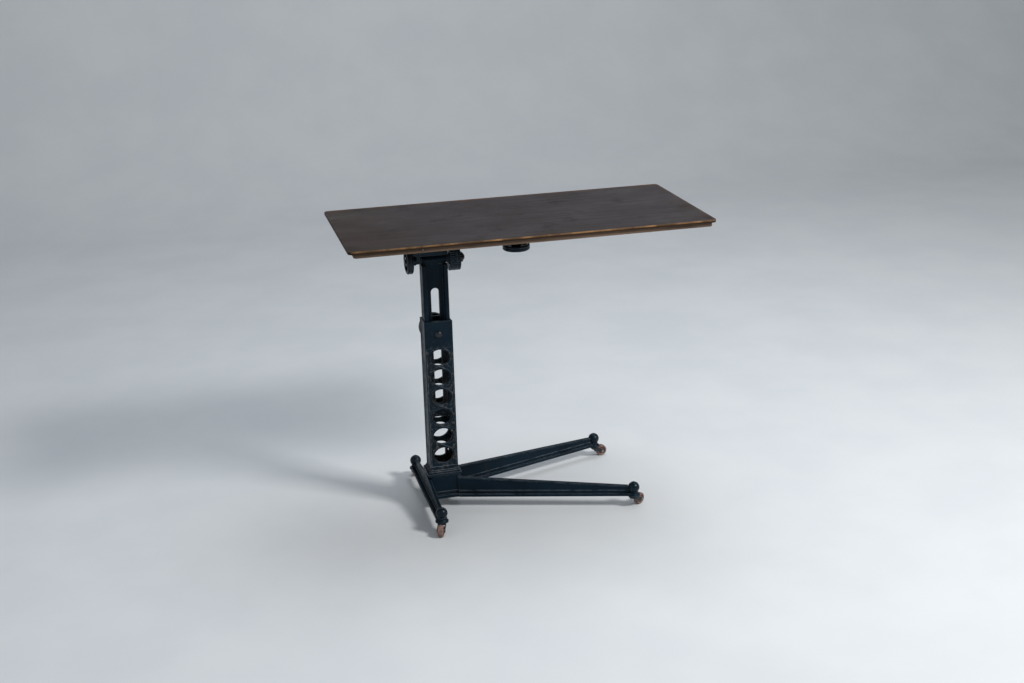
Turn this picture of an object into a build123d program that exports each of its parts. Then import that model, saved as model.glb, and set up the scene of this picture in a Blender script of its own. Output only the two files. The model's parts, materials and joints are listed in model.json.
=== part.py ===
from build123d import *
from math import acos, cos, degrees, radians, sin
import os

# Drafting table on a cast-iron pedestal. The pedestal stands near one end of the board: a
# three-way base on four swivelling casters, a hollow pierced column, and an H-section post
# that slides in it and is held by a clamp bolt. On the post's head a yoke tilts, and its arm
# reaches to the middle of the board, where the board swivels on a spindle.
#
# The origin is on the floor under the middle of the board. +X runs along the board towards
# its free end, +Y to the back and +Z up. All sizes are in millimetres.

os.makedirs("parts", exist_ok=True)

# ---------------------------------------------------------------- driving dimensions

TABLE_HEIGHT = 765.0
BOARD_LENGTH = 914.0
BOARD_WIDTH = 436.0
TOP_LAYER = 7.0
UNDER_LAYER = 11.0
BOARD_CORNER = 12.0
# How far the under layer stands back from the top layer: left, right, front, back.
UNDER_INSETS = (13.5, 9.0, 6.5, 9.0)

COLUMN_X = -216.0
COLUMN_WIDTH = 73.0
COLUMN_DEPTH = 56.0
COLUMN_FOOT = 99.0
COLUMN_TOP = 514.0
COLUMN_FLOOR = 8.0
SIDE_RECESS = 1.2
PLATE_THICKNESS = 6.5

RING_COUNT = 6
RING_PITCH = 54.0
LOWEST_RING = 147.0
RIDGE_RADIUS = 2.6
# Middle line of the raised ridge round each ring: half width and half height.
RING_ACROSS = 27.6
RING_UP = 24.0
PANEL_SINK = 1.0
PANEL_BORDER = 3.6

POST_WIDTH = 66.0
POST_DEPTH = 41.0
POST_BOTTOM = 248.0
POST_FLANGE = 11.5
POST_WEB = 8.0
SLIDE_GAP = 0.4
SLOT_BOTTOM = 283.0
SLOT_TOP = 596.0
SLOT_WIDTH = 21.0

CLAMP_Z = 479.5
CLAMP_BOLT_RADIUS = 5.0

TILT_Z = 670.4
TILT_SPINDLE_RADIUS = 6.0
BARREL_RADIUS = 9.5
BARREL_LEFT = COLUMN_X - 34.7
BARREL_RIGHT = COLUMN_X + 36.7
TOOTHED_DISC_RADIUS = 32.0
TOOTHED_DISC_THICKNESS = 9.2
DISC_GAP = 0.4
TOOTH_COUNT = 40

SWIVEL_SPINDLE_RADIUS = 8.0
SWIVEL_BOSS_RADIUS = 25.0
ARM_BOSS_TOP = 731.0
ARM_BOSS_BOTTOM = 701.0
BOSS_BEVEL = 3.0

RUNNING_GAP = 0.06
FACE_GAP = 0.4

BASE_BOTTOM = 29.0
BLOCK_WIDTH = 73.0
BLOCK_DEPTH = 64.0
CROSSBAR_X = COLUMN_X - 41.0
CROSSBAR_HALF = 175.0
LEG_FOOT_X = COLUMN_X + 472.5
LEG_FOOT_Y = 173.5
FOOT_RADIUS = 17.0
FOOT_BOTTOM = 31.0
FOOT_TOP = 42.5
COLLAR_NECK = 11.2
FINIAL_RADIUS = 15.0
FINIAL_CENTRE = 54.0
FINIAL_TOP = 69.8

CASTER_TRAIL = 23.0
CASTER_WHEEL_RADIUS = 15.0
CASTER_WHEEL_WIDTH = 14.5
CASTER_STEM_RADIUS = 4.5
CASTER_AXLE_RADIUS = 2.2

# Each foot: place, and the heading in degrees in which its caster trails.
FEET = {
    "front_left": (CROSSBAR_X, -CROSSBAR_HALF, 250),
    "rear_left": (CROSSBAR_X, CROSSBAR_HALF, 85),
    "front_right": (LEG_FOOT_X, -LEG_FOOT_Y, 35),
    "rear_right": (LEG_FOOT_X, LEG_FOOT_Y, 9),
}

BOARD_UNDERSIDE = TABLE_HEIGHT - TOP_LAYER - UNDER_LAYER


# ---------------------------------------------------------------- shared helpers


def save(piece, name):
    """Label a finished piece and write it under its node name."""
    piece.part.label = name
    export_step(piece.part, f"parts/{name}.step")


def column_plane(height):
    """Horizontal plane centred on the column's axis."""
    return Plane((COLUMN_X, 0, height))


def axial_plane(origin, direction):
    """Plane through an axis: its x is the radius and its y runs along the axis."""
    axis = Vector(*direction)
    radial = Vector(1, 0, 0) if abs(axis.Z) > 0.5 else Vector(0, 0, 1)
    return Plane(origin, x_dir=radial, z_dir=radial.cross(axis))


def handwheel(origin, direction, rim_radius, rim_start, rim_width, bore_radius):
    """Clamp handwheel: the hub starts at origin and the rim is at its far end."""
    hub_radius = 12.0
    hub_length = rim_start + rim_width
    rim_depth = 8.5
    rim_middle = rim_start + rim_width / 2
    with BuildPart() as wheel:
        with BuildSketch(axial_plane(origin, direction)):
            with Locations((bore_radius + (hub_radius - bore_radius) / 2, hub_length / 2)):
                Rectangle(hub_radius - bore_radius, hub_length)
            with Locations(((hub_radius + rim_radius - rim_depth) / 2, rim_middle)):
                Rectangle(rim_radius - rim_depth - hub_radius + 2, 5)
            with Locations((rim_radius - rim_depth / 2, rim_middle)):
                RectangleRounded(rim_depth, rim_width, 3.8)
            with Locations((rim_radius + 0.4, rim_middle)):
                Circle(1.5, mode=Mode.SUBTRACT)
        revolve(axis=Axis(origin, direction))
        hub_end = wheel.edges().filter_by(GeomType.CIRCLE)
        hub_end = hub_end.filter_by(lambda edge: abs(edge.radius - hub_radius) < 0.01)
        chamfer(hub_end, 1.2)
    return wheel


def toothed_disc_plane(x):
    """Plane square to the tilt axis, on the axis, at a place along it."""
    return Plane((x, 0, TILT_Z), x_dir=(0, 1, 0), z_dir=(1, 0, 0))


# ---------------------------------------------------------------- base

# Mouldings of a base rib, from the flange up: width, then bottom and top heights where the
# rib leaves the block, and the same at its foot.
LEG_LAYERS = (
    (20.5, 30, 37.5, 32.5, 39),
    (8.5, 36, 84, 37, 58),
    (12, 43.5, 47, 44.5, 47.5),
    (9.8, 81, 84, 55, 58),
)
CROSSBAR_LAYERS = (
    (28, 30, 37.5, 33.5, 40),
    (6, 36, 90, 38, 61),
    (12, 43.5, 47, 45, 48),
    (7.6, 87, 90, 58, 61),
)
# The edges high on the crossbar hollow by this much between the block and each foot.
CROSSBAR_HOLLOW = 3.5
RIB_WAIST = 53.0
RIBS = (
    ((COLUMN_X + 36, -33.8), (LEG_FOOT_X, -LEG_FOOT_Y), LEG_LAYERS, 0),
    ((COLUMN_X + 36, 33.8), (LEG_FOOT_X, LEG_FOOT_Y), LEG_LAYERS, 0),
    ((CROSSBAR_X, 0), (CROSSBAR_X, -CROSSBAR_HALF), CROSSBAR_LAYERS, CROSSBAR_HOLLOW),
    ((CROSSBAR_X, 0), (CROSSBAR_X, CROSSBAR_HALF), CROSSBAR_LAYERS, CROSSBAR_HOLLOW),
)
# Rectangular steps of the block: width, depth, bottom, top.
BLOCK_STEPS = (
    (BLOCK_WIDTH + 14, BLOCK_DEPTH + 14, BASE_BOTTOM, 37.5),
    (BLOCK_WIDTH, BLOCK_DEPTH, 37.5, 91),
    (BLOCK_WIDTH + 5, BLOCK_DEPTH + 5, 43, 47),
    (BLOCK_WIDTH + 11, BLOCK_DEPTH + 4, 91, 95),
    (BLOCK_WIDTH + 17, BLOCK_DEPTH + 8, 95, COLUMN_FOOT),
)
COLUMN_STUDS = ((15, 12, 151), (-15, 12, 124))
STUD_RADIUS = 4.0
STUD_BOTTOM = 81.0


def rib_edge(run_length, start_height, end_height, hollow):
    """Lower or upper edge of a rib moulding, hollowed if it lies high on the rib."""
    if hollow and start_height > RIB_WAIST:
        middle = (run_length / 2, (start_height + end_height) / 2 - hollow)
        ThreePointArc((0, start_height), middle, (run_length, end_height))
    else:
        Line((0, start_height), (run_length, end_height))


with BuildPart() as base_casting:
    for step_width, step_depth, step_bottom, step_top in BLOCK_STEPS:
        with BuildSketch(column_plane(step_bottom)):
            RectangleRounded(step_width, step_depth, 3)
        extrude(amount=step_top - step_bottom)
    # Pad on the block's right side, from whose corners the two long legs spring.
    with BuildSketch(column_plane(BASE_BOTTOM)):
        with Locations((38.2, 0)):
            RectangleRounded(8.4, 72, 2)
    extrude(amount=LEG_LAYERS[1][2] - BASE_BOTTOM)
    for rib_start, rib_end, layers, hollow in RIBS:
        run = Vector(rib_end[0] - rib_start[0], rib_end[1] - rib_start[1])
        along = run.normalized()
        rib_plane = Plane((*rib_start, 0), x_dir=along, z_dir=Vector(along.Y, -along.X, 0))
        for layer_width, low_start, high_start, low_end, high_end in layers:
            with BuildSketch(rib_plane):
                with BuildLine():
                    rib_edge(run.length, low_start, low_end, hollow)
                    Line((run.length, low_end), (run.length, high_end))
                    rib_edge(run.length, high_start, high_end, hollow)
                    Line((0, high_start), (0, low_start))
                make_face()
            extrude(amount=layer_width / 2, both=True)
    for foot_x, foot_y, _ in FEET.values():
        # The rib ends in a cup for the ball, above a flared collar that holds the caster.
        with BuildSketch(Plane((foot_x, foot_y, FINIAL_CENTRE))):
            Circle(FINIAL_RADIUS + FACE_GAP)
        extrude(amount=FINIAL_TOP, mode=Mode.SUBTRACT)
        with Locations((foot_x, foot_y, FINIAL_CENTRE)):
            Sphere(FINIAL_RADIUS + FACE_GAP, mode=Mode.SUBTRACT)
        with BuildSketch(Plane((foot_x, foot_y, FOOT_TOP))):
            Circle(COLLAR_NECK)
        extrude(amount=FINIAL_CENTRE - FOOT_TOP, mode=Mode.SUBTRACT)
        with BuildSketch(axial_plane((foot_x, foot_y, 0), (0, 0, 1))):
            with BuildLine():
                flare_bottom = (FOOT_RADIUS, FOOT_BOTTOM + 3)
                flare_middle = (COLLAR_NECK + 2, FOOT_BOTTOM + 5.8)
                ThreePointArc(flare_bottom, flare_middle, (COLLAR_NECK, FOOT_TOP))
                Polyline((COLLAR_NECK, FOOT_TOP), (0, FOOT_TOP), (0, FOOT_BOTTOM))
                Polyline((0, FOOT_BOTTOM), (FOOT_RADIUS, FOOT_BOTTOM), flare_bottom)
            make_face()
        revolve(axis=Axis((foot_x, foot_y, 0), (0, 0, 1)))
        with BuildSketch(Plane((foot_x, foot_y, FOOT_BOTTOM))):
            Circle(CASTER_STEM_RADIUS + RUNNING_GAP)
        extrude(amount=FOOT_TOP - FOOT_BOTTOM, mode=Mode.SUBTRACT)
    with BuildSketch(column_plane(STUD_BOTTOM)):
        with Locations(*[(stud_x, stud_y) for stud_x, stud_y, _ in COLUMN_STUDS]):
            Circle(STUD_RADIUS)
    extrude(amount=COLUMN_FOOT, mode=Mode.SUBTRACT)
save(base_casting, "base_casting")

with BuildPart() as column_studs:
    for stud_x, stud_y, stud_top in COLUMN_STUDS:
        with BuildSketch(Plane((COLUMN_X + stud_x, stud_y, STUD_BOTTOM))):
            Circle(STUD_RADIUS)
        extrude(amount=stud_top - STUD_BOTTOM)
        with BuildSketch(Plane((COLUMN_X + stud_x, stud_y, COLUMN_FOOT + COLUMN_FLOOR))):
            RegularPolygon(6.5, 6, major_radius=False)
        extrude(amount=6.5)
save(column_studs, "column_studs")

for foot_name, (foot_x, foot_y, _) in FEET.items():
    with BuildPart() as finial:
        with BuildSketch(axial_plane((foot_x, foot_y, 0), (0, 0, 1))):
            with BuildLine():
                ball = CenterArc((0, FINIAL_CENTRE), FINIAL_RADIUS, -46, 46 + 78)
                Polyline(ball @ 1, (2.3, FINIAL_TOP), (0, FINIAL_TOP))
                Polyline((0, FINIAL_TOP), (0, FOOT_TOP), ((ball @ 0).X, FOOT_TOP), ball @ 0)
            make_face()
        revolve(axis=Axis((foot_x, foot_y, 0), (0, 0, 1)))
    save(finial, f"finial_{foot_name}")


# ---------------------------------------------------------------- casters


def make_fork(heading_plane):
    """Caster fork: two cheeks, a bridge, a turning plate and the stem."""
    cheek_inside = CASTER_WHEEL_WIDTH / 2 + 0.8
    cheek_thickness = 2.0
    plate_bottom = 27.0
    plate_top = FOOT_BOTTOM - 0.6
    stem_top = FOOT_TOP - 1.5
    stem_plane = Plane(heading_plane.origin + Vector(0, 0, plate_bottom))
    with BuildPart() as fork:
        for side in (-1, 1):
            with BuildSketch(heading_plane.offset(side * cheek_inside)):
                with Locations((CASTER_TRAIL, CASTER_WHEEL_RADIUS)):
                    Circle(5)
                with Locations((2, 23.5)):
                    Circle(6.3)
                make_hull()
                with Locations((CASTER_TRAIL, CASTER_WHEEL_RADIUS)):
                    Circle(CASTER_AXLE_RADIUS, mode=Mode.SUBTRACT)
            extrude(amount=side * cheek_thickness)
        with BuildSketch(heading_plane):
            with Locations((-0.5, plate_bottom - 0.5)):
                Rectangle(15, 5)
        extrude(amount=cheek_inside + cheek_thickness, both=True)
        with BuildSketch(stem_plane):
            Circle(9)
        extrude(amount=plate_top - plate_bottom)
        with BuildSketch(stem_plane):
            Circle(CASTER_STEM_RADIUS)
        extrude(amount=stem_top - plate_bottom)
    return fork


def make_axle(heading_plane):
    """Axle pin with a small head at each end."""
    half_length = CASTER_WHEEL_WIDTH / 2 + 3.0
    with BuildPart() as axle:
        with BuildSketch(heading_plane):
            with Locations((CASTER_TRAIL, CASTER_WHEEL_RADIUS)):
                Circle(CASTER_AXLE_RADIUS)
        extrude(amount=half_length, both=True)
        for side in (-1, 1):
            with BuildSketch(heading_plane.offset(side * half_length)):
                with Locations((CASTER_TRAIL, CASTER_WHEEL_RADIUS)):
                    Circle(3.4)
            extrude(amount=side * 1.2)
    return axle


def make_caster_wheel(heading_plane):
    """Small wheel with a rounded tread, a hollowed side and a hub."""
    half_width = CASTER_WHEEL_WIDTH / 2
    bore = CASTER_AXLE_RADIUS + RUNNING_GAP
    hub_centre = heading_plane.from_local_coords((CASTER_TRAIL, CASTER_WHEEL_RADIUS, 0))
    axle_direction = heading_plane.z_dir
    with BuildPart() as wheel:
        with BuildSketch(axial_plane(hub_centre, tuple(axle_direction))) as profile:
            with Locations((CASTER_WHEEL_RADIUS - 3, 0)):
                RectangleRounded(6, CASTER_WHEEL_WIDTH, 2.6)
            with Locations((8, 0)):
                Rectangle(7, half_width)
            with Locations(((bore + 5.5) / 2, 0)):
                Rectangle(5.5 - bore, CASTER_WHEEL_WIDTH + 0.8)
        revolve(axis=Axis(hub_centre, axle_direction))
    return wheel


for foot_name, (foot_x, foot_y, heading) in FEET.items():
    trail_direction = Vector(cos(radians(heading)), sin(radians(heading)), 0)
    axle_line = Vector(trail_direction.Y, -trail_direction.X, 0)
    caster_plane = Plane((foot_x, foot_y, 0), x_dir=trail_direction, z_dir=axle_line)
    save(make_fork(caster_plane), f"caster_fork_{foot_name}")
    save(make_axle(caster_plane), f"caster_axle_{foot_name}")
    save(make_caster_wheel(caster_plane), f"caster_wheel_{foot_name}")


# ---------------------------------------------------------------- outer column


def ridge_path(plane, upper_ring, lower_ring):
    """One link of the running scroll: round the left of one ring and the right of the next.

    Either ring may be None, which leaves only the other half of the link.
    """
    # Where the straight middle of the link leaves the rings, as an angle from the vertical.
    lean = degrees(acos(2 * RING_UP / RING_PITCH))
    with BuildLine(plane) as link:
        if upper_ring is not None:
            left_of_ring = EllipticalCenterArc(
                (0, upper_ring), RING_ACROSS, RING_UP, 122, arc_size=148 - lean
            )
        if lower_ring is not None:
            right_of_ring = EllipticalCenterArc(
                (0, lower_ring), RING_ACROSS, RING_UP, 90 - lean, arc_size=lean - 148
            )
        if upper_ring is not None and lower_ring is not None:
            Line(left_of_ring @ 1, right_of_ring @ 0)
    return link.line


PANEL_BOTTOM = LOWEST_RING - RING_UP - 6
PANEL_TOP = LOWEST_RING + (RING_COUNT - 1) * RING_PITCH + RING_UP + 2
ring_heights = [LOWEST_RING + RING_PITCH * ring for ring in range(RING_COUNT)]

with BuildPart() as outer_column:
    with BuildSketch(column_plane(COLUMN_FOOT)):
        Rectangle(COLUMN_WIDTH, COLUMN_DEPTH)
    extrude(amount=COLUMN_TOP - COLUMN_FOOT)
    with BuildSketch(column_plane(COLUMN_FOOT + COLUMN_FLOOR)):
        with Locations((-COLUMN_WIDTH / 2, 0), (COLUMN_WIDTH / 2, 0)):
            Rectangle(2 * SIDE_RECESS, COLUMN_DEPTH - 2 * PLATE_THICKNESS)
    extrude(amount=COLUMN_TOP, mode=Mode.SUBTRACT)
    chamfer(outer_column.edges().group_by(Axis.Z)[-1].filter_by(Axis.X), 1.2)
    with BuildSketch(column_plane(COLUMN_FOOT)):
        RectangleRounded(COLUMN_WIDTH + 8, COLUMN_DEPTH + 8, 2)
    extrude(amount=4)
    with BuildSketch(column_plane(COLUMN_FOOT + 4)):
        Rectangle(COLUMN_WIDTH + 3, COLUMN_DEPTH + 3)
    extrude(amount=4)
    for facing in (-1, 1):
        plate_plane = Plane(
            (COLUMN_X, facing * COLUMN_DEPTH / 2, 0), x_dir=(-facing, 0, 0), z_dir=(0, facing, 0)
        )
        with BuildSketch(plate_plane):
            with Locations((0, (PANEL_BOTTOM + PANEL_TOP) / 2)):
                Rectangle(COLUMN_WIDTH - 2 * PANEL_BORDER, PANEL_TOP - PANEL_BOTTOM)
        extrude(amount=-PANEL_SINK, mode=Mode.SUBTRACT)
        for upper, lower in zip([*ring_heights, None], [None, *ring_heights]):
            scroll = ridge_path(plate_plane.offset(-PANEL_SINK), upper, lower)
            with BuildSketch(Plane(scroll @ 0, z_dir=scroll % 0)):
                Circle(RIDGE_RADIUS)
            sweep(path=scroll)
    with BuildSketch(column_plane(COLUMN_FOOT + COLUMN_FLOOR)):
        Rectangle(POST_WIDTH + 2 * SLIDE_GAP, POST_DEPTH + 2 * SLIDE_GAP)
    extrude(amount=COLUMN_TOP, mode=Mode.SUBTRACT)
    with BuildSketch(Plane((COLUMN_X, 0, 0), x_dir=(1, 0, 0), z_dir=(0, -1, 0))):
        with Locations(*[(0, height) for height in ring_heights]):
            Ellipse(RING_ACROSS - RIDGE_RADIUS, RING_UP - RIDGE_RADIUS)
        with Locations((0, CLAMP_Z)):
            Circle(CLAMP_BOLT_RADIUS)
    extrude(amount=COLUMN_DEPTH, both=True, mode=Mode.SUBTRACT)
    with BuildSketch(column_plane(COLUMN_FOOT)):
        with Locations(*[(stud_x, stud_y) for stud_x, stud_y, _ in COLUMN_STUDS]):
            Circle(STUD_RADIUS)
    extrude(amount=COLUMN_FLOOR, mode=Mode.SUBTRACT)
save(outer_column, "outer_column")


# ---------------------------------------------------------------- sliding post

FLANGE_TOP = TILT_Z - 11.5
BARREL_NECK = 12.0

with BuildPart() as inner_column:
    with BuildSketch(column_plane(POST_BOTTOM)):
        with Locations((-(POST_WIDTH - POST_FLANGE) / 2, 0), ((POST_WIDTH - POST_FLANGE) / 2, 0)):
            RectangleRounded(POST_FLANGE, POST_DEPTH, 4)
        Rectangle(POST_WIDTH - POST_FLANGE, POST_WEB)
    extrude(amount=FLANGE_TOP - POST_BOTTOM)
    # Narrow neck from the top of the post up to the barrel, clear of the swing of the yoke.
    with BuildSketch(column_plane(FLANGE_TOP)):
        Rectangle(POST_WIDTH - 4, BARREL_NECK)
    extrude(amount=TILT_Z - FLANGE_TOP)
    with BuildSketch(toothed_disc_plane(BARREL_LEFT)):
        Circle(BARREL_RADIUS)
    extrude(amount=BARREL_RIGHT - BARREL_LEFT)
    for collar_x in (BARREL_LEFT, BARREL_RIGHT - 3):
        with BuildSketch(toothed_disc_plane(collar_x)):
            Circle(BARREL_RADIUS + 0.9)
        extrude(amount=3)
    with BuildSketch(toothed_disc_plane(BARREL_LEFT)):
        Circle(TILT_SPINDLE_RADIUS + RUNNING_GAP)
    extrude(amount=BARREL_RIGHT - BARREL_LEFT, mode=Mode.SUBTRACT)
    with BuildSketch(Plane((COLUMN_X, 0, 0), x_dir=(1, 0, 0), z_dir=(0, -1, 0))):
        with Locations((0, (SLOT_BOTTOM + SLOT_TOP) / 2)):
            SlotOverall(SLOT_TOP - SLOT_BOTTOM, SLOT_WIDTH, rotation=90)
    extrude(amount=POST_DEPTH, both=True, mode=Mode.SUBTRACT)
save(inner_column, "inner_column")


# ---------------------------------------------------------------- height clamp

COLUMN_BACK = COLUMN_DEPTH / 2
WASHER_THICKNESS = 2.5
height_wheel_start = COLUMN_BACK + WASHER_THICKNESS + FACE_GAP
height_rim_start = 5.0
RIM_WIDTH = 16.0

with BuildPart() as clamp_bolt:
    bolt_length = 2 * COLUMN_BACK + WASHER_THICKNESS + FACE_GAP + height_rim_start + RIM_WIDTH + 3
    with BuildSketch(axial_plane((COLUMN_X, -COLUMN_BACK, CLAMP_Z), (0, -1, 0))):
        with BuildLine():
            TangentArc((0, 6.5), (10, 1), tangent=(1, 0))
            Polyline((10, 1), (10, 0), (CLAMP_BOLT_RADIUS, 0), (CLAMP_BOLT_RADIUS, -bolt_length))
            Polyline((CLAMP_BOLT_RADIUS, -bolt_length), (0, -bolt_length), (0, 6.5))
        make_face()
    revolve(axis=Axis((COLUMN_X, -COLUMN_BACK, CLAMP_Z), (0, -1, 0)))
save(clamp_bolt, "clamp_bolt")

with BuildPart() as clamp_washer:
    with BuildSketch(Plane((COLUMN_X, COLUMN_BACK, CLAMP_Z), x_dir=(1, 0, 0), z_dir=(0, 1, 0))):
        Circle(15)
        Circle(CLAMP_BOLT_RADIUS, mode=Mode.SUBTRACT)
    extrude(amount=WASHER_THICKNESS)
save(clamp_washer, "clamp_washer")

height_handwheel = handwheel(
    (COLUMN_X, height_wheel_start, CLAMP_Z),
    (0, 1, 0),
    rim_radius=37.0,
    rim_start=height_rim_start,
    rim_width=RIM_WIDTH,
    bore_radius=CLAMP_BOLT_RADIUS + RUNNING_GAP,
)
save(height_handwheel, "height_handwheel")


# ---------------------------------------------------------------- tilt head

FIXED_DISC_START = BARREL_RIGHT + 1.5
FIXED_DISC_THICKNESS = 17.7
MOVING_DISC_START = FIXED_DISC_START + FIXED_DISC_THICKNESS + DISC_GAP
MOVING_DISC_END = MOVING_DISC_START + TOOTHED_DISC_THICKNESS
YOKE_LEFT = COLUMN_X - 44.0
YOKE_EAR = 8.0
TILT_WHEEL_START = YOKE_LEFT - FACE_GAP
TILT_RIM_START = 10.0

with BuildPart() as fixed_disc:
    with BuildSketch(toothed_disc_plane(BARREL_RIGHT)):
        Circle(15)
    extrude(amount=FIXED_DISC_START - BARREL_RIGHT)
    with BuildSketch(toothed_disc_plane(FIXED_DISC_START)):
        Circle(TOOTHED_DISC_RADIUS)
        with PolarLocations(TOOTHED_DISC_RADIUS + 0.3, TOOTH_COUNT):
            Circle(1.5, mode=Mode.SUBTRACT)
    extrude(amount=FIXED_DISC_THICKNESS)
    with BuildSketch(toothed_disc_plane(BARREL_RIGHT)):
        Circle(TILT_SPINDLE_RADIUS + RUNNING_GAP)
    extrude(amount=TOOTHED_DISC_RADIUS, mode=Mode.SUBTRACT)
save(fixed_disc, "fixed_toothed_disc")

# The arm casting: a yoke over the barrel, with an ear at one end and a toothed disc at the
# other, and a ribbed arm that rises to the swivel boss under the middle of the board.
SADDLE_BOTTOM = 681.4
SADDLE_TOP = 695.0
SADDLE_WIDTH = 14.0
# Lug of the saddle that reaches over the hub of the tilt handwheel.
LUG_BOTTOM = TILT_Z + 13.2
LUG_LEFT = YOKE_LEFT - 8.0
SADDLE_END = FIXED_DISC_START - 3.5
DISC_ARCH = TILT_Z + TOOTHED_DISC_RADIUS + 2.5
ARM_WEB = 10.0
ARM_TOP_PLATE = 6.0
ARM_PLATE_WIDTH = 34.0
ARM_UPPER_EDGE = (
    (LUG_LEFT, SADDLE_TOP),
    (COLUMN_X - 20, SADDLE_TOP + 5),
    (COLUMN_X + 24, SADDLE_TOP + 22),
    (-SWIVEL_BOSS_RADIUS, ARM_BOSS_TOP - 4),
    (0, ARM_BOSS_TOP - 4),
)

with BuildPart() as tilt_arm:
    with BuildSketch(Plane((0, 0, 0), x_dir=(1, 0, 0), z_dir=(0, -1, 0))):
        with BuildLine():
            Polyline(
                (YOKE_LEFT, SADDLE_BOTTOM),
                (YOKE_LEFT, LUG_BOTTOM),
                (LUG_LEFT, LUG_BOTTOM),
                *ARM_UPPER_EDGE,
                (0, ARM_BOSS_BOTTOM + BOSS_BEVEL),
                (-SWIVEL_BOSS_RADIUS, ARM_BOSS_BOTTOM + BOSS_BEVEL + 3),
                (MOVING_DISC_END + 6, SADDLE_BOTTOM + 13),
                (MOVING_DISC_END, SADDLE_BOTTOM + 8),
                (MOVING_DISC_END, SADDLE_BOTTOM),
                (MOVING_DISC_START + 1, SADDLE_BOTTOM),
                (MOVING_DISC_START + 1, DISC_ARCH),
                (FIXED_DISC_START - 2, DISC_ARCH),
                (SADDLE_END, SADDLE_BOTTOM),
                close=True,
            )
        make_face()
    extrude(amount=ARM_WEB / 2, both=True)
    # Top plate of the arm, which follows its upper edge.
    with BuildSketch(Plane((0, 0, 0), x_dir=(1, 0, 0), z_dir=(0, -1, 0))):
        with BuildLine():
            Polyline(
                *ARM_UPPER_EDGE,
                *[(x, z - ARM_TOP_PLATE) for x, z in reversed(ARM_UPPER_EDGE)],
                close=True,
            )
        make_face()
    extrude(amount=ARM_PLATE_WIDTH / 2, both=True)
    with BuildSketch(Plane((0, 0, SADDLE_BOTTOM))):
        with Locations(((YOKE_LEFT + SADDLE_END) / 2, 0)):
            RectangleRounded(SADDLE_END - YOKE_LEFT, SADDLE_WIDTH, 2)
    extrude(amount=SADDLE_TOP - SADDLE_BOTTOM)
    # Left ear.
    with BuildSketch(toothed_disc_plane(YOKE_LEFT)):
        Circle(BARREL_RADIUS + 0.5)
        with Locations((0, (SADDLE_BOTTOM - TILT_Z) + 4)):
            Rectangle(22, 8)
        make_hull()
    extrude(amount=YOKE_EAR)
    # Toothed disc, with a web up to the saddle.
    with BuildSketch(toothed_disc_plane(MOVING_DISC_START)):
        Circle(TOOTHED_DISC_RADIUS)
        with PolarLocations(TOOTHED_DISC_RADIUS + 0.3, TOOTH_COUNT):
            Circle(1.5, mode=Mode.SUBTRACT)
    extrude(amount=TOOTHED_DISC_THICKNESS)
    # Swivel boss, with a bevelled lower rim.
    with BuildSketch(Plane.XY.offset(ARM_BOSS_BOTTOM + BOSS_BEVEL)):
        Circle(SWIVEL_BOSS_RADIUS)
    extrude(amount=ARM_BOSS_TOP - ARM_BOSS_BOTTOM - BOSS_BEVEL)
    with BuildSketch(Plane.XY.offset(ARM_BOSS_BOTTOM + BOSS_BEVEL)):
        Circle(SWIVEL_BOSS_RADIUS)
    extrude(amount=-BOSS_BEVEL, taper=35)
    with BuildSketch(Plane.XY.offset(ARM_BOSS_BOTTOM)):
        Circle(SWIVEL_SPINDLE_RADIUS + RUNNING_GAP)
    extrude(amount=ARM_BOSS_TOP - ARM_BOSS_BOTTOM, mode=Mode.SUBTRACT)
    with BuildSketch(toothed_disc_plane(YOKE_LEFT)):
        Circle(TILT_SPINDLE_RADIUS)
    extrude(amount=MOVING_DISC_END - YOKE_LEFT, mode=Mode.SUBTRACT)
save(tilt_arm, "tilt_arm")

CAP_NUT_HEX = 9.0
CAP_NUT_LENGTH = 15.0

with BuildPart() as tilt_cap_nut:
    with BuildSketch(toothed_disc_plane(MOVING_DISC_END)):
        RegularPolygon(11.5, 6, major_radius=False)
    extrude(amount=CAP_NUT_HEX)
    with BuildSketch(axial_plane((MOVING_DISC_END, 0, TILT_Z), (1, 0, 0))):
        with BuildLine():
            Polyline((0, CAP_NUT_LENGTH), (0, CAP_NUT_HEX), (10.5, CAP_NUT_HEX))
            TangentArc((0, CAP_NUT_LENGTH), (10.5, CAP_NUT_HEX), tangent=(1, 0))
        make_face()
    revolve(axis=Axis((MOVING_DISC_END, 0, TILT_Z), (1, 0, 0)))
    with BuildSketch(toothed_disc_plane(MOVING_DISC_END)):
        Circle(TILT_SPINDLE_RADIUS)
    extrude(amount=CAP_NUT_HEX, mode=Mode.SUBTRACT)
save(tilt_cap_nut, "tilt_cap_nut")

tilt_handwheel = handwheel(
    (TILT_WHEEL_START, 0, TILT_Z),
    (-1, 0, 0),
    rim_radius=32.5,
    rim_start=TILT_RIM_START,
    rim_width=RIM_WIDTH,
    bore_radius=TILT_SPINDLE_RADIUS + RUNNING_GAP,
)
save(tilt_handwheel, "tilt_handwheel")

with BuildPart() as tilt_spindle:
    spindle_left = TILT_WHEEL_START - TILT_RIM_START - RIM_WIDTH - 2.5
    with BuildSketch(toothed_disc_plane(spindle_left)):
        Circle(TILT_SPINDLE_RADIUS)
    extrude(amount=MOVING_DISC_END + CAP_NUT_HEX - spindle_left)
save(tilt_spindle, "tilt_spindle")


# ---------------------------------------------------------------- swivel under the board

SWIVEL_WASHER = 2.0
HUB_BOTTOM = ARM_BOSS_TOP + SWIVEL_WASHER + FACE_GAP
SPIDER_THICKNESS = 6.0
SPIDER_BOTTOM = BOARD_UNDERSIDE - SPIDER_THICKNESS
SPIDER_ARM_WIDTH = 30.0
SPIDER_HALF_X = 120.0
SPIDER_HALF_Y = 100.0
SCREW_INSET = 12.0
SCREW_RADIUS = 2.1
SPINDLE_HEAD_RADIUS = 14.0
SPINDLE_HEAD = 4.0

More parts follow.
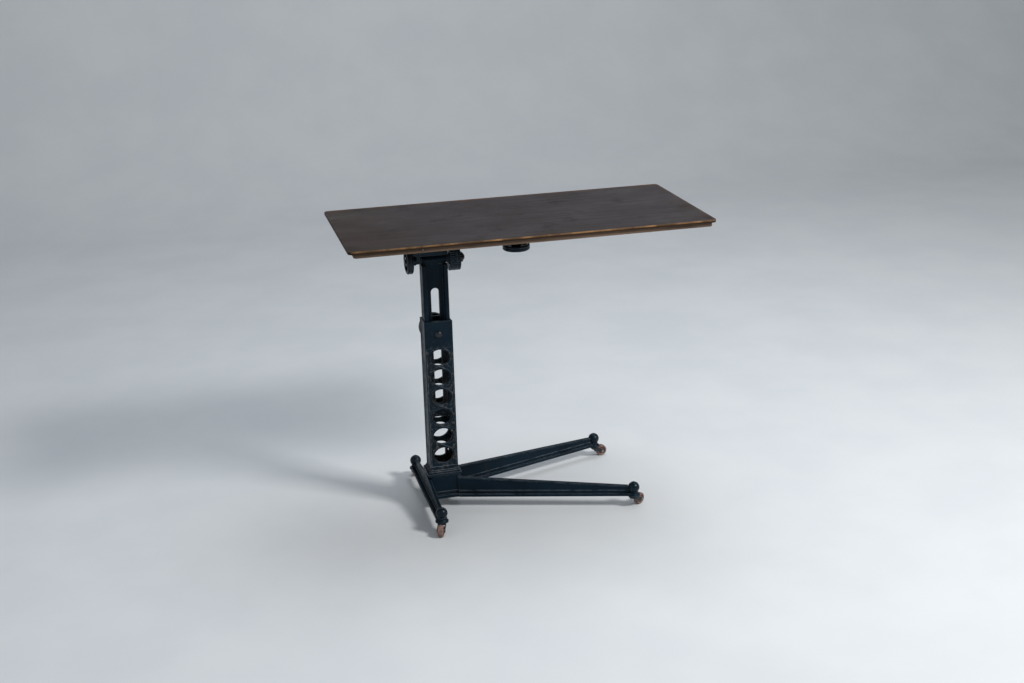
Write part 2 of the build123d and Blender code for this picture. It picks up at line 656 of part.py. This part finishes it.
screw_places = []
for arm_end in (-1, 1):
    for across in (-8, 8):
        screw_places.append((arm_end * (SPIDER_HALF_X - SCREW_INSET), across))
        screw_places.append((across, arm_end * (SPIDER_HALF_Y - SCREW_INSET)))

with BuildPart() as board_spider:
    with BuildSketch(Plane.XY.offset(SPIDER_BOTTOM)):
        RectangleRounded(2 * SPIDER_HALF_X, SPIDER_ARM_WIDTH, 8)
        RectangleRounded(SPIDER_ARM_WIDTH, 2 * SPIDER_HALF_Y, 8)
        Circle(38)
    extrude(amount=SPIDER_THICKNESS)
    with BuildSketch(Plane.XY.offset(HUB_BOTTOM)):
        Circle(24)
    extrude(amount=SPIDER_BOTTOM - HUB_BOTTOM)
    with BuildSketch(Plane.XY.offset(HUB_BOTTOM)):
        Circle(SWIVEL_SPINDLE_RADIUS)
    extrude(amount=BOARD_UNDERSIDE - HUB_BOTTOM, mode=Mode.SUBTRACT)
    with BuildSketch(Plane.XY.offset(BOARD_UNDERSIDE - SPINDLE_HEAD)):
        Circle(SPINDLE_HEAD_RADIUS)
    extrude(amount=SPINDLE_HEAD, mode=Mode.SUBTRACT)
    with BuildSketch(Plane.XY.offset(SPIDER_BOTTOM)):
        with Locations(*screw_places):
            Circle(SCREW_RADIUS)
    extrude(amount=SPIDER_THICKNESS, mode=Mode.SUBTRACT)
save(board_spider, "board_spider")

with BuildPart() as friction_washer:
    with BuildSketch(Plane.XY.offset(ARM_BOSS_TOP)):
        Circle(22)
        Circle(SWIVEL_SPINDLE_RADIUS + 0.3, mode=Mode.SUBTRACT)
    extrude(amount=SWIVEL_WASHER)
save(friction_washer, "friction_washer")

swivel_wheel_top = ARM_BOSS_BOTTOM - WASHER_THICKNESS - FACE_GAP
swivel_rim_start = 6.5
SWIVEL_RIM_WIDTH = 15.0
spindle_end = swivel_wheel_top - swivel_rim_start - SWIVEL_RIM_WIDTH - 3

with BuildPart() as swivel_spindle:
    with BuildSketch(Plane.XY.offset(spindle_end)):
        Circle(SWIVEL_SPINDLE_RADIUS)
    extrude(amount=BOARD_UNDERSIDE - spindle_end)
    with BuildSketch(Plane.XY.offset(BOARD_UNDERSIDE - SPINDLE_HEAD)):
        Circle(SPINDLE_HEAD_RADIUS)
    extrude(amount=SPINDLE_HEAD)
save(swivel_spindle, "swivel_spindle")

with BuildPart() as swivel_washer:
    with BuildSketch(Plane.XY.offset(ARM_BOSS_BOTTOM - WASHER_THICKNESS)):
        Circle(18)
        Circle(SWIVEL_SPINDLE_RADIUS + 0.3, mode=Mode.SUBTRACT)
    extrude(amount=WASHER_THICKNESS)
save(swivel_washer, "swivel_washer")

swivel_handwheel = handwheel(
    (0, 0, swivel_wheel_top),
    (0, 0, -1),
    rim_radius=35.0,
    rim_start=swivel_rim_start,
    rim_width=SWIVEL_RIM_WIDTH,
    bore_radius=SWIVEL_SPINDLE_RADIUS + RUNNING_GAP,
)
save(swivel_handwheel, "swivel_handwheel")


# ---------------------------------------------------------------- board

SCREW_DEPTH = 8.0
SCREW_HEAD = 1.8
EDGE_WEAR = 1.2

with BuildPart() as top_board:
    with BuildSketch(Plane.XY.offset(TABLE_HEIGHT - TOP_LAYER)):
        RectangleRounded(BOARD_LENGTH, BOARD_WIDTH, BOARD_CORNER)
    extrude(amount=TOP_LAYER)
    fillet(top_board.edges().group_by(Axis.Z)[-1], EDGE_WEAR)
    fillet(top_board.edges().group_by(Axis.Z)[0], 0.6)
save(top_board, "top_board")

inset_left, inset_right, inset_front, inset_back = UNDER_INSETS
with BuildPart() as under_board:
    with BuildSketch(Plane.XY.offset(BOARD_UNDERSIDE)):
        with Locations(((inset_left - inset_right) / 2, (inset_front - inset_back) / 2)):
            RectangleRounded(
                BOARD_LENGTH - inset_left - inset_right, BOARD_WIDTH - inset_front - inset_back, 8
            )
    extrude(amount=UNDER_LAYER)
    fillet(under_board.edges().group_by(Axis.Z)[0], 0.8)
    with BuildSketch(Plane.XY.offset(BOARD_UNDERSIDE)):
        with Locations(*screw_places):
            Circle(SCREW_RADIUS)
    extrude(amount=SCREW_DEPTH, mode=Mode.SUBTRACT)
save(under_board, "under_board")

with BuildPart() as spider_screws:
    with BuildSketch(Plane.XY.offset(SPIDER_BOTTOM)):
        with Locations(*screw_places):
            Circle(SCREW_RADIUS)
    extrude(amount=SPIDER_THICKNESS + SCREW_DEPTH)
    with BuildSketch(Plane.XY.offset(SPIDER_BOTTOM - SCREW_HEAD)):
        with Locations(*screw_places):
            Circle(4.2)
    extrude(amount=SCREW_HEAD)
save(spider_screws, "spider_screws")

# Small round-headed pin driven into the front edge of the under layer.
PIN_X = -279.5
PIN_Z = 754.5
front_edge = -BOARD_WIDTH / 2 + inset_front
with BuildPart() as edge_pin:
    with BuildSketch(axial_plane((PIN_X, front_edge, PIN_Z), (0, -1, 0))):
        with BuildLine():
            Polyline((0, 1.3), (0, 0), (1.9, 0))
            TangentArc((0, 1.3), (1.9, 0), tangent=(1, 0))
        make_face()
    revolve(axis=Axis((PIN_X, front_edge, PIN_Z), (0, -1, 0)))
save(edge_pin, "edge_pin")
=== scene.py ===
import json
import math

import bpy
from mathutils import Matrix, Vector

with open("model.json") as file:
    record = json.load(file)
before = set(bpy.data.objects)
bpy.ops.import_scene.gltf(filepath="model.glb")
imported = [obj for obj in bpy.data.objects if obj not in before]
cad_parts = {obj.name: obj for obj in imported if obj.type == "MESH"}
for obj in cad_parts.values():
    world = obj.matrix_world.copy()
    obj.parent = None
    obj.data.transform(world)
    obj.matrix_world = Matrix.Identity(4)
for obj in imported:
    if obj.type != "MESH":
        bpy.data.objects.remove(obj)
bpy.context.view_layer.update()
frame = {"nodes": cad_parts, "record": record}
NODES = frame["nodes"]

# Metres: the height of the board's face, its half depth and its half length.
BOARD_TOP = 0.765
BOARD_BACK = 0.218
BOARD_END = 0.457
# The height of the column's foot and of its clamp.
COLUMN_FOOT = 0.099
COLUMN_CLAMP = 0.4795

# Colours, linear. A pair is the dark and the light tone of one stuff.
CASTING_ENAMEL = (0.0022, 0.0066, 0.0118)
FITTING_ENAMEL = (0.0022, 0.005, 0.0085)
CASTER_ENAMEL = (0.02, 0.019, 0.018)
DARK_STEEL = (0.045, 0.05, 0.057)
BRIGHT_STEEL = (0.38, 0.36, 0.34)
DUST = (0.17, 0.135, 0.1)
DULL_STREAK = (0.014, 0.0165, 0.017)
GRIT = (0.04, 0.042, 0.042)
# Bare metal on worn edges, made light and bluish also as a painted highlight.
BARE_EDGE_AND_HIGHLIGHT = (0.19, 0.23, 0.27)
IRON_SHEEN = (0.62, 0.85, 1.0)
RUST_FRECKLE = (0.09, 0.055, 0.035)
# The grey pair is the wood with a painted grey sheen over it; the brown pair is the wood without
# it.
GREY_GRAIN_AND_SHEEN = ((0.027, 0.0224, 0.0236), (0.0545, 0.046, 0.0485))
BROWN_GRAIN = ((0.027, 0.0185, 0.0142), (0.05, 0.0342, 0.0265))
DARK_STAIN = (0.017, 0.013, 0.0115)
PALE_CLOUD = (0.066, 0.056, 0.058)
BOARD_PORE = (0.012, 0.009, 0.007)
BOARD_SIDE_GRAIN = ((0.018, 0.011, 0.007), (0.045, 0.027, 0.016))
WORN_VARNISH = (0.095, 0.047, 0.026)
# Bare wood on the rubbed front arris, light also as a painted highlight.
BARE_WOOD_AND_HIGHLIGHT = (0.33, 0.175, 0.075)
VARNISH_SHEEN = (0.85, 0.92, 1.0)
UNDER_GRAIN = ((0.07, 0.042, 0.027), (0.17, 0.11, 0.074))
UNDER_PATCH = (0.045, 0.03, 0.02)
UNDER_PORE = (0.05, 0.03, 0.02)
UNDER_EDGE = (0.3, 0.2, 0.12)
RUBBER = ((0.125, 0.064, 0.052), (0.24, 0.146, 0.122))
RUBBER_DUST = (0.28, 0.21, 0.18)
LEATHER = ((0.1, 0.05, 0.028), (0.2, 0.11, 0.06))
STUDIO_AIR = (0.8, 0.85, 0.9)
STUDIO_FLOOR = ((0.66, 0.68, 0.7), (0.7, 0.715, 0.73))

# ---------------------------------------------------------------- shader helpers


class Shader:
    """A node material being built: each method adds one node and returns its output."""

    def __init__(self, name):
        self.material = bpy.data.materials.new(name)
        self.material.use_nodes = True
        self.tree = self.material.node_tree
        self.surface = self.tree.nodes["Principled BSDF"]
        self.place = self.node("ShaderNodeTexCoord").outputs["Object"]

    def node(self, kind, inputs=None, **settings):
        """Add a node with its inputs plugged in and its settings made."""
        made = self.tree.nodes.new(kind)
        for key, value in settings.items():
            setattr(made, key, value)
        for key, value in (inputs or {}).items():
            self.plug(made.inputs[key], value)
        return made

    def plug(self, socket, value):
        """Connect a node output to a socket, or set the socket to a plain value."""
        if isinstance(value, bpy.types.NodeSocket):
            self.tree.links.new(value, socket)
        elif isinstance(value, tuple) and len(value) == 3 and socket.type == "RGBA":
            socket.default_value = (*value, 1)
        else:
            socket.default_value = value

    def set(self, **inputs):
        """Set sockets of the surface shader; underscores in a name stand for spaces."""
        for key, value in inputs.items():
            self.plug(self.surface.inputs[key.replace("_", " ")], value)

    def stretched(self, x, y, z):
        """The object's coordinates multiplied by a factor along each axis."""
        return self.node(
            "ShaderNodeVectorMath", {0: self.place, 1: (x, y, z)}, operation="MULTIPLY"
        ).outputs[0]

    def noise(self, scale, detail=4, roughness=0.55, at=None, distortion=0.0):
        """Noise from 0 to 1; scale is in features per metre."""
        return self.node(
            "ShaderNodeTexNoise",
            {
                "Vector": at or self.place,
                "Scale": scale,
                "Detail": detail,
                "Roughness": roughness,
                "Distortion": distortion,
            },
        ).outputs["Fac"]

    def ramp(self, value, low, high, to_low=0.0, to_high=1.0):
        """Map low..high smoothly to to_low..to_high, clamped."""
        return self.node(
            "ShaderNodeMapRange",
            {
                "Value": value,
                "From Min": low,
                "From Max": high,
                "To Min": to_low,
                "To Max": to_high,
            },
            interpolation_type="SMOOTHSTEP",
        ).outputs["Result"]

    def math(self, operation, first, second=0.0):
        """One step of arithmetic on one or two values."""
        return self.node("ShaderNodeMath", {0: first, 1: second}, operation=operation).outputs[0]

    def mix(self, amount, first, second):
        """Blend two colours."""
        mixer = self.node("ShaderNodeMix", {0: amount}, data_type="RGBA")
        self.plug(mixer.inputs[6], first)
        self.plug(mixer.inputs[7], second)
        return mixer.outputs[2]

    def part(self, axis):
        """One coordinate of the place on the object."""
        return self.node("ShaderNodeSeparateXYZ", {0: self.place}).outputs[axis]

    def facing(self, axis):
        """How far the true surface faces along +axis, from -1 to 1."""
        geometry = self.node("ShaderNodeNewGeometry").outputs["Normal"]
        turned = self.node(
            "ShaderNodeVectorTransform",
            {0: geometry},
            vector_type="NORMAL",
            convert_from="WORLD",
            convert_to="OBJECT",
        ).outputs[0]
        return self.node("ShaderNodeSeparateXYZ", {0: turned}).outputs[axis]

    def edges(self, radius):
        """1 on sharp outside or inside edges, falling to 0 over the radius."""
        soft = self.node("ShaderNodeBevel", {"Radius": radius}, samples=6).outputs[0]
        true = self.node("ShaderNodeNewGeometry").outputs["Normal"]
        dot = self.node("ShaderNodeVectorMath", {0: soft, 1: true}, operation="DOT_PRODUCT")
        return self.math("SUBTRACT", 1.0, dot.outputs["Value"])

    def hollows(self, distance):
        """1 deep in corners and hollows, 0 on open faces."""
        open_sky = self.node("ShaderNodeAmbientOcclusion", {"Distance": distance}, samples=6)
        return self.math("SUBTRACT", 1.0, open_sky.outputs["AO"])

    def bump(self, height, depth, radius=0.0, strength=1.0):
        """Surface normal from a height, on top of rounded edges where a radius is given."""
        inputs = {"Height": height, "Distance": depth, "Strength": strength}
        if radius:
            inputs["Normal"] = self.node(
                "ShaderNodeBevel", {"Radius": radius}, samples=6
            ).outputs[0]
        return self.node("ShaderNodeBump", inputs).outputs[0]


def iron(name, tone, gloss, shine, dust, edge_wear_and_highlight, edge_radius):
    """Black enamelled cast iron: dusty hollows, rubbed edges lightened also as a painted
    highlight, and a coarse skin.
    """
    s = Shader(name)
    broad = s.noise(9, 3)
    patch = s.noise(38, 5, 0.6)
    grit = s.noise(420, 4, 0.6)
    streak = s.noise(30, 4, 0.6, at=s.stretched(1.0, 1.0, 0.16))
    body = s.mix(s.ramp(broad, 0.35, 0.68), tone, tuple(1.9 * c for c in tone))
    body = s.mix(s.ramp(streak, 0.54, 0.76, 0, 0.5), body, DULL_STREAK)
    body = s.mix(s.ramp(grit, 0.62, 0.75, 0, 0.3), body, GRIT)
    # Dust lies round the rings and plinth of the column, not on the base or the head: in the
    # hollows all round, and in fine patches on the front and back.
    above_foot = s.ramp(s.part("Z"), COLUMN_FOOT - 0.009, COLUMN_FOOT + 0.011)
    below_clamp = s.ramp(s.part("Z"), COLUMN_CLAMP - 0.0595, COLUMN_CLAMP - 0.0095, 1.0, 0.1)
    column = s.math("MULTIPLY", above_foot, below_clamp)
    reach = s.math("MULTIPLY", column, dust)
    dusty = s.math("MULTIPLY", s.ramp(s.hollows(0.02), 0.25, 0.75), s.ramp(patch, 0.3, 0.62))
    dusty = s.math("MULTIPLY", dusty, reach)
    front = s.ramp(s.math("ABSOLUTE", s.facing("Y")), 0.15, 0.5)
    patches = s.ramp(s.noise(160, 7, 0.75), 0.52, 0.64, 0, 0.6)
    patches = s.math("MULTIPLY", s.math("MULTIPLY", patches, front), reach)
    dusty = s.math("MAXIMUM", dusty, patches)
    body = s.mix(dusty, body, DUST)
    # Edges are lightened both by bare worn metal and by a painted highlight along the beads and
    # arrises.
    edge = s.math("MULTIPLY", s.ramp(s.edges(0.0013), 0.02, 0.12), s.ramp(patch, 0.3, 0.58))
    edge = s.math("MULTIPLY", edge, edge_wear_and_highlight)
    body = s.mix(edge, body, BARE_EDGE_AND_HIGHLIGHT)
    rough = s.ramp(patch, 0.3, 0.7, gloss, gloss + 0.2)
    rough = s.math("ADD", rough, s.math("MULTIPLY", dusty, 0.4))
    height = s.math("ADD", s.math("MULTIPLY", grit, 0.35), s.noise(130, 3, 0.5))
    s.set(
        Base_Color=body,
        Roughness=rough,
        Normal=s.bump(height, 0.0007, edge_radius, 0.45),
        Specular_Tint=IRON_SHEEN,
        Specular_IOR_Level=shine,
    )
    return s.material


def steel(name, tone, roughness, edge_radius):
    """Turned steel, darkened, with fine freckles of rust."""
    s = Shader(name)
    patch = s.noise(60, 4, 0.6)
    fine = s.noise(900, 3, 0.6)
    body = s.mix(s.ramp(patch, 0.4, 0.7), tone, tuple(0.45 * c for c in tone))
    body = s.mix(s.ramp(fine, 0.6, 0.72, 0, 0.5), body, RUST_FRECKLE)
    s.set(
        Base_Color=body,
        Metallic=0.9,
        Roughness=s.ramp(patch, 0.3, 0.7, roughness, roughness + 0.22),
        Normal=s.bump(fine, 0.0003, edge_radius, 0.3),
    )
    return s.material


def tread(name):
    """Old red-brown hard rubber, dusty."""
    s = Shader(name)
    patch = s.noise(120, 4, 0.6)
    fine = s.noise(1500, 3, 0.6)
    body = s.mix(s.ramp(patch, 0.35, 0.65), *RUBBER)
    body = s.mix(s.ramp(fine, 0.55, 0.7, 0, 0.5), body, RUBBER_DUST)
    s.set(
        Base_Color=body,
        Roughness=s.ramp(patch, 0.3, 0.7, 0.5, 0.75),
        Normal=s.bump(fine, 0.0003, 0.0008, 0.4),
    )
    return s.material


def board_wood(name):
    """Dark varnished top with straight grain along the board, a painted grey sheen over the middle
    and right, and worn edges.
    """
    s = Shader(name)
    grain = s.noise(1.0, 8, 0.7, at=s.stretched(3.2, 190, 190), distortion=0.9)
    pores = s.noise(1.0, 4, 0.7, at=s.stretched(7, 620, 620))
    cloud = s.noise(4.5, 4, 0.6)
    stain = s.noise(13, 6, 0.65)
    along = s.part("X")
    across = s.part("Y")
    # Grey grain: the wood under a painted grey sheen.
    grey_and_sheen = s.mix(s.ramp(grain, 0.32, 0.68), *GREY_GRAIN_AND_SHEEN)
    brown = s.mix(s.ramp(grain, 0.32, 0.68), *BROWN_GRAIN)
    # The painted grey sheen fades towards the left end, where the top is browner; it is browner
    # also in clouds and along the right and front edges.
    left = s.ramp(along, -BOARD_END - 0.013, -BOARD_END + 0.257, 0.75, 0.0)
    browner = s.math("ADD", left, s.ramp(cloud, 0.5, 0.75, 0, 0.3))
    right = s.ramp(along, BOARD_END - 0.077, BOARD_END - 0.007)
    near = s.ramp(across, -BOARD_BACK + 0.048, -BOARD_BACK + 0.008)
    margin = s.math("MAXIMUM", right, near)
    browner = s.math("ADD", browner, s.math("MULTIPLY", margin, s.ramp(stain, 0.4, 0.6, 0, 0.7)))
    body = s.mix(browner, grey_and_sheen, brown)
    body = s.mix(s.ramp(stain, 0.54, 0.7, 0, 0.65), body, DARK_STAIN)
    body = s.mix(s.ramp(cloud, 0.28, 0.46, 0.4, 0), body, PALE_CLOUD)
    body = s.mix(s.ramp(pores, 0.6, 0.72, 0, 0.5), body, BOARD_PORE)
    side = s.ramp(s.facing("Z"), 0.25, 0.6, 1.0, 0.0)
    body = s.mix(side, body, s.mix(s.ramp(grain, 0.3, 0.7), *BOARD_SIDE_GRAIN))
    # Worn varnish in a strip along the back and the right end.
    back = s.ramp(across, BOARD_BACK - 0.018, BOARD_BACK - 0.011)
    end = s.ramp(along, BOARD_END - 0.008, BOARD_END - 0.003)
    worn = s.math("MULTIPLY", s.math("MAXIMUM", back, end), s.ramp(stain, 0.34, 0.6, 0.9, 0.35))
    body = s.mix(worn, body, WORN_VARNISH)
    # The upper arris is rubbed to bare wood along the front, and its light line is also a painted
    # highlight.
    high = s.ramp(s.part("Z"), BOARD_TOP - 0.0038, BOARD_TOP - 0.0026)
    foremost = s.ramp(across, -BOARD_BACK + 0.001, -BOARD_BACK + 0.0022, 1.0, 0.0)
    arris_wear_and_highlight = s.math("MULTIPLY", high, foremost)
    arris_wear_and_highlight = s.math("MULTIPLY", arris_wear_and_highlight, s.ramp(stain, 0.32, 0.56, 1.0, 0.2))
    body = s.mix(arris_wear_and_highlight, body, BARE_WOOD_AND_HIGHLIGHT)
    height = s.math("SUBTRACT", s.math("MULTIPLY", grain, 0.5), s.math("MULTIPLY", pores, 0.6))
    s.set(
        Base_Color=body,
        Roughness=s.ramp(cloud, 0.3, 0.7, 0.42, 0.56),
        Normal=s.bump(height, 0.0006, 0.0012, 0.35),
        Specular_IOR_Level=0.06,
        Specular_Tint=VARNISH_SHEEN,
    )
    return s.material


def frame_wood(name):
    """Plain aged wood of the under layer."""
    s = Shader(name)
    grain = s.noise(1.0, 7, 0.6, at=s.stretched(3, 80, 80), distortion=0.5)
    patch = s.noise(14, 5, 0.62)
    fine = s.noise(1.0, 4, 0.7, at=s.stretched(16, 600, 600))
    body = s.mix(s.ramp(grain, 0.3, 0.7), *UNDER_GRAIN)
    body = s.mix(s.ramp(patch, 0.45, 0.75, 0, 0.6), body, UNDER_PATCH)
    body = s.mix(s.ramp(fine, 0.58, 0.7, 0, 0.45), body, UNDER_PORE)
    edge = s.math("MULTIPLY", s.ramp(s.edges(0.002), 0.02, 0.16), s.ramp(patch, 0.25, 0.6))
    body = s.mix(edge, body, UNDER_EDGE)
    s.set(
        Base_Color=body,
        Roughness=s.ramp(patch, 0.3, 0.7, 0.55, 0.75),
        Normal=s.bump(s.math("ADD", grain, fine), 0.0006, 0.0008, 0.4),
        Specular_IOR_Level=0.25,
    )
    return s.material


def leather(name):
    """Compressed oiled leather."""
    s = Shader(name)
    cells = s.node("ShaderNodeTexVoronoi", {"Vector": s.place, "Scale": 900.0}).outputs["Distance"]
    patch = s.noise(90, 4)
    s.set(
        Base_Color=s.mix(s.ramp(patch, 0.35, 0.7), *LEATHER),
        Roughness=s.ramp(patch, 0.3, 0.7, 0.5, 0.7),
        Normal=s.bump(cells, 0.0003, 0.0, 0.4),
    )
    return s.material


MATERIALS = {
    "black_iron": iron(
        "black_iron",
        tone=CASTING_ENAMEL,
        gloss=0.32,
        shine=0.14,
        dust=1.0,
        edge_wear_and_highlight=0.85,
        edge_radius=0.0012,
    ),
    "black_fittings": iron(
        "black_fittings",
        tone=FITTING_ENAMEL,
        gloss=0.2,
        shine=0.26,
        dust=0.3,
        edge_wear_and_highlight=0.5,
        edge_radius=0.0009,
    ),
    "dark_steel": steel("dark_steel", tone=DARK_STEEL, roughness=0.3, edge_radius=0.0006),
    "caster_iron": iron(
        "caster_iron",
        tone=CASTER_ENAMEL,
        gloss=0.38,
        shine=0.25,
        dust=0.8,
        edge_wear_and_highlight=0.7,
        edge_radius=0.0005,
    ),
    "steel_pin": steel("steel_pin", tone=BRIGHT_STEEL, roughness=0.38, edge_radius=0.0004),
    "caster_rubber": tread("caster_rubber"),
    "board_wood": board_wood("board_wood"),
    "frame_wood": frame_wood("frame_wood"),
    "friction_leather": leather("friction_leather"),
}

for entry in frame["record"]["subparts"]:
    cad_object = NODES[entry["node"]]
    cad_object.data.materials.clear()
    cad_object.data.materials.append(MATERIALS[entry["material_slot"]])

# ---------------------------------------------------------------- floor, light and camera


def make_floor():
    """A plain pale floor that curves up into a backdrop behind the object."""
    steps = 24
    radius = 1.6
    front = -6.0
    back = 3.2
    top = 5.0
    half_width = 9.0
    profile = [(front, 0.0), (back, 0.0)]
    for step in range(1, steps + 1):
        angle = math.pi / 2 * step / steps
        profile.append((back + radius * math.sin(angle), radius - radius * math.cos(angle)))
    profile.append((back + radius, top))
    verts = [(x, y, z) for y, z in profile for x in (-half_width, half_width)]
    faces = [(2 * i, 2 * i + 1, 2 * i + 3, 2 * i + 2) for i in range(len(profile) - 1)]
    mesh = bpy.data.meshes.new("floor")
    mesh.from_pydata(verts, [], faces)
    mesh.shade_smooth()
    floor = bpy.data.objects.new("floor", mesh)
    bpy.context.scene.collection.objects.link(floor)
    s = Shader("floor")
    tone = s.ramp(s.noise(3, 3), 0.3, 0.7)
    s.set(
        Base_Color=s.mix(tone, *STUDIO_FLOOR),
        Roughness=0.55,
    )
    mesh.materials.append(s.material)


def area_light(name, place, target, size, power, colour):
    """A rectangular lamp at a place, turned to face a target."""
    lamp = bpy.data.lights.new(name, "AREA")
    lamp.shape = "RECTANGLE"
    lamp.size, lamp.size_y = size
    lamp.energy = power
    lamp.color = colour
    holder = bpy.data.objects.new(name, lamp)
    holder.location = place
    holder.rotation_euler = (Vector(target) - Vector(place)).to_track_quat("-Z", "Y").to_euler()
    bpy.context.scene.collection.objects.link(holder)


make_floor()
area_light("key", (2.3, -2.2, 2.9), (0, 0, 0.4), (0.9, 0.7), 120, (1.0, 0.99, 0.97))
area_light("fill", (-2.6, -1.2, 1.2), (0, 0, 0.4), (1.6, 1.6), 6, (0.9, 0.95, 1.0))
area_light("top", (0.8, 0.6, 3.6), (0, 0, 0.6), (2.4, 1.6), 48, (0.86, 0.94, 1.0))

world = bpy.data.worlds.new("studio")
world.use_nodes = True
world.node_tree.nodes["Background"].inputs["Color"].default_value = (*STUDIO_AIR, 1)
world.node_tree.nodes["Background"].inputs["Strength"].default_value = 0.36
bpy.context.scene.world = world
bpy.context.scene.view_settings.view_transform = "Standard"

# The eye of a standing viewer, in front of the table and to the left.
CAMERA_PLACE = Vector((-0.866, -3.396, 1.617))
CAMERA_YAW = math.radians(-14.025)
CAMERA_PITCH = math.radians(18.729)
CAMERA_ROLL = math.radians(-1.547)

forward = Vector(
    (
        -math.sin(CAMERA_YAW) * math.cos(CAMERA_PITCH),
        math.cos(CAMERA_YAW) * math.cos(CAMERA_PITCH),
        -math.sin(CAMERA_PITCH),
    )
)
level_right = Vector((math.cos(CAMERA_YAW), math.sin(CAMERA_YAW), 0))
level_up = level_right.cross(forward)
right = math.cos(CAMERA_ROLL) * level_right + math.sin(CAMERA_ROLL) * level_up
up = math.cos(CAMERA_ROLL) * level_up - math.sin(CAMERA_ROLL) * level_right

camera_data = bpy.data.cameras.new("camera")
camera_data.sensor_width = 36
camera_data.lens = 50
camera = bpy.data.objects.new("camera", camera_data)
axes = Matrix((right, up, -forward)).transposed().to_4x4()
camera.matrix_world = Matrix.Translation(CAMERA_PLACE) @ axes
bpy.context.scene.collection.objects.link(camera)
bpy.context.scene.camera = camera
